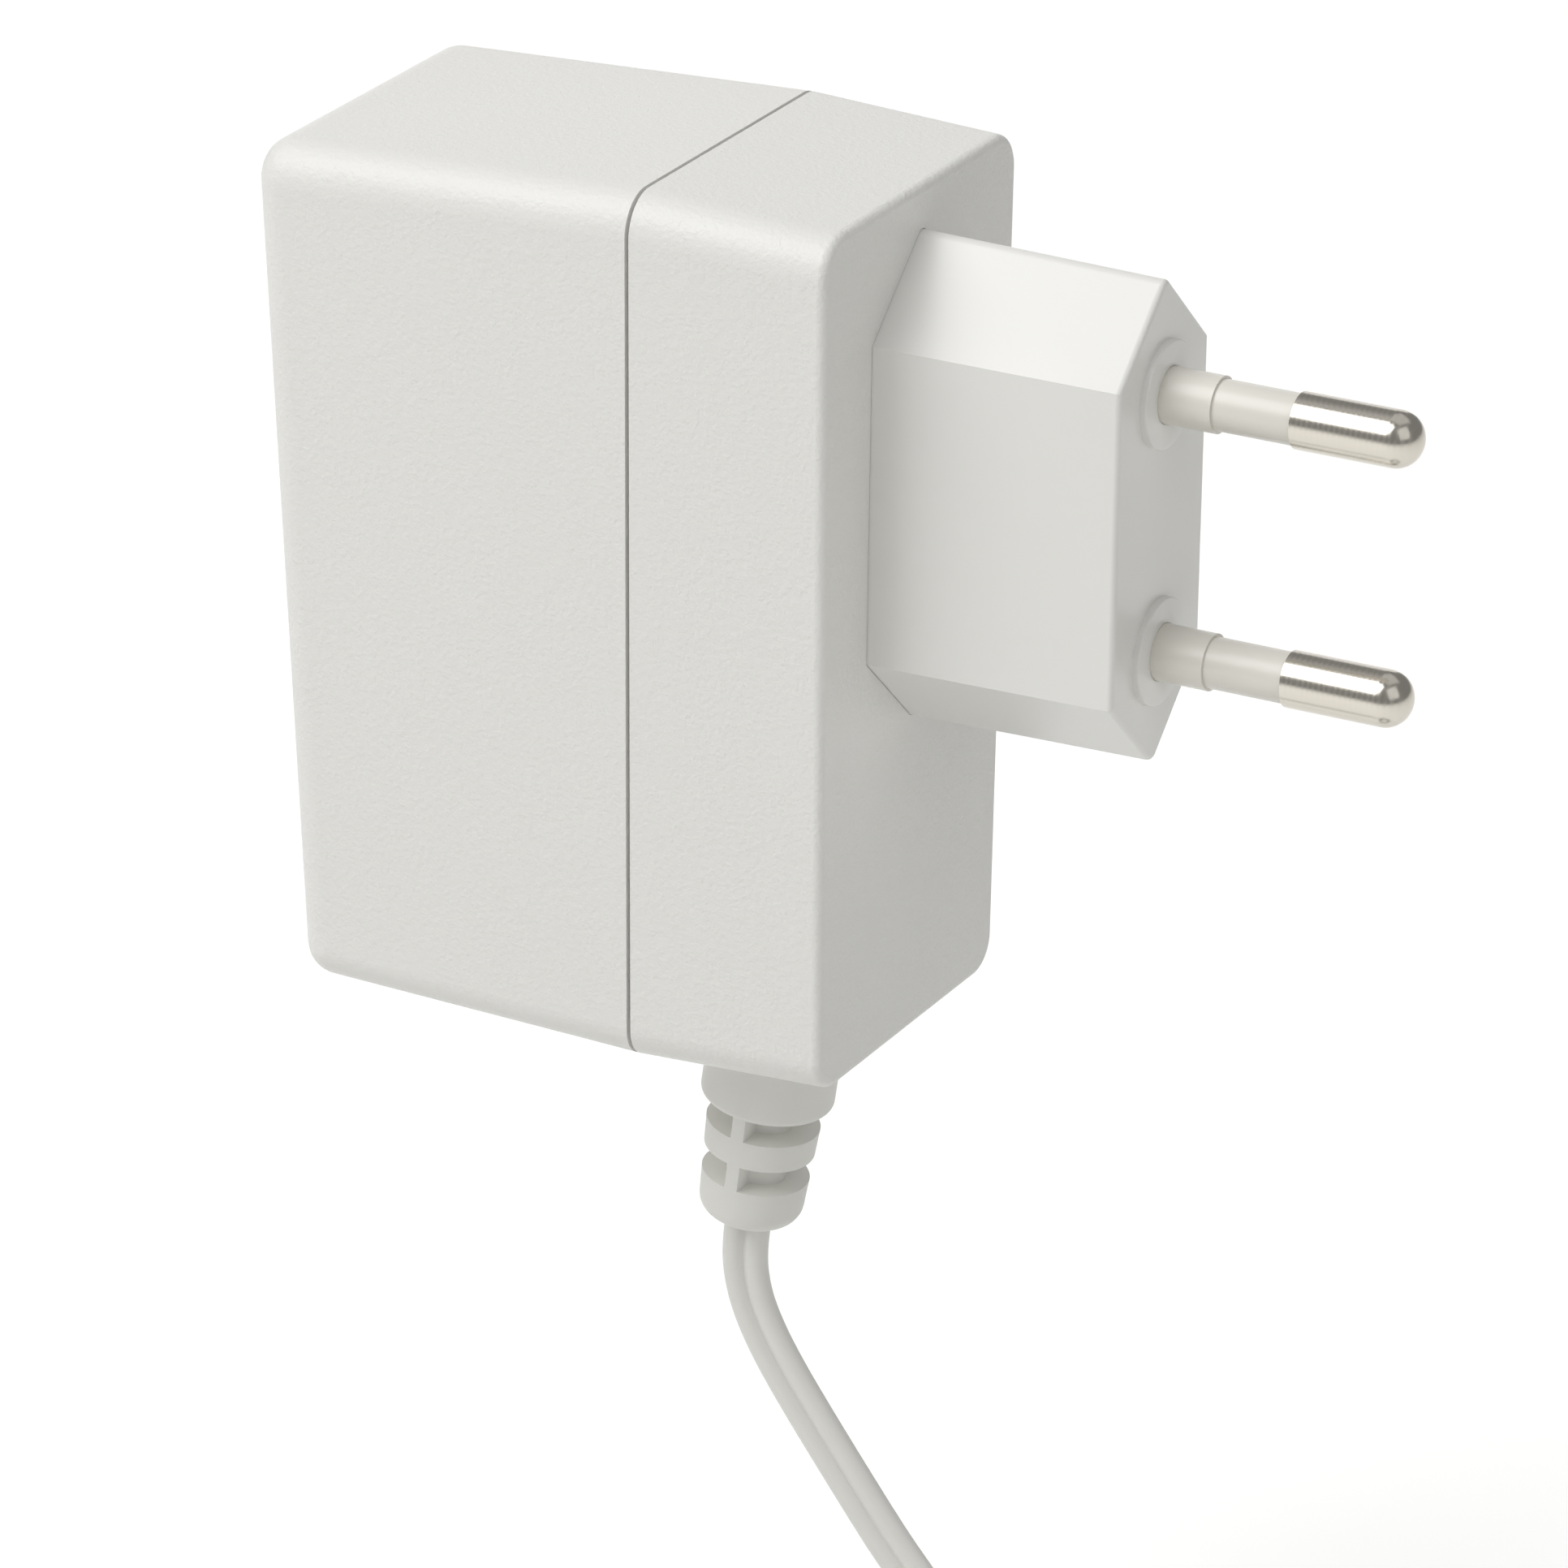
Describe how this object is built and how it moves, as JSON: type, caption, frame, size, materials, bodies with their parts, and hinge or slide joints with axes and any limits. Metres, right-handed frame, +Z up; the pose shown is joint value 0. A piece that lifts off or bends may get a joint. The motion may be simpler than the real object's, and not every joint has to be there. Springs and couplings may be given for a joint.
{
  "type": "plug in ac transformer",
  "caption": "Plug-in AC transformer: white two-part housing, hexagonal two-pin European plug nose, slotted strain relief and flat output cord with a barrel plug",
  "frame": {"origin": "centre of the plug nose's flat front face, midway between the two contact pins", "axes": "+X out of the plug along the pins into the wall socket, +Z up from the lower pin to the upper pin, +Y to the far side"},
  "size_m": [0.1116, 0.0614, 0.1316],
  "materials": {
    "housing_plastic": "fine satin texture",
    "insert_plastic": "satin",
    "nickel_pin": "polished nickel plating",
    "sleeve_plastic": "smooth",
    "silicon_steel": "varnished plates",
    "bobbin_nylon": "natural nylon",
    "enamelled_copper": "enamelled wire",
    "polyester_tape": "polyester film",
    "tinned_wire": "tinned",
    "fuse_can": "plated can",
    "lead_insulation": "soft sleeve",
    "cord_vinyl": "soft vinyl",
    "relief_vinyl": "soft vinyl",
    "tie_plastic": "soft strap",
    "insulator_plastic": "black"
  },
  "bodies": {
    "root": {"cover_shell": "housing_plastic", "base_shell": "housing_plastic", "plug_insert": "insert_plastic", "pin_upper": "nickel_pin", "pin_lower": "nickel_pin", "pin_sleeve_upper": "sleeve_plastic", "pin_sleeve_lower": "sleeve_plastic", "core_e_plates": "silicon_steel", "core_i_plates": "silicon_steel", "bobbin": "bobbin_nylon", "primary_winding": "enamelled_copper", "secondary_winding": "enamelled_copper", "primary_tape": "polyester_tape", "secondary_tape": "polyester_tape", "terminal_pins": "tinned_wire", "thermal_fuse": "fuse_can", "primary_lead_upper": "lead_insulation", "primary_lead_lower": "lead_insulation", "cord_tail": "cord_vinyl", "strain_relief": "relief_vinyl", "cord_run": "cord_vinyl", "cord_coil": "cord_vinyl", "cord_end": "cord_vinyl", "cord_tie": "tie_plastic", "plug_grip": "relief_vinyl", "plug_barrel": "nickel_pin", "plug_insulator": "insulator_plastic", "plug_contact": "nickel_pin"}
  },
  "joints": []
}
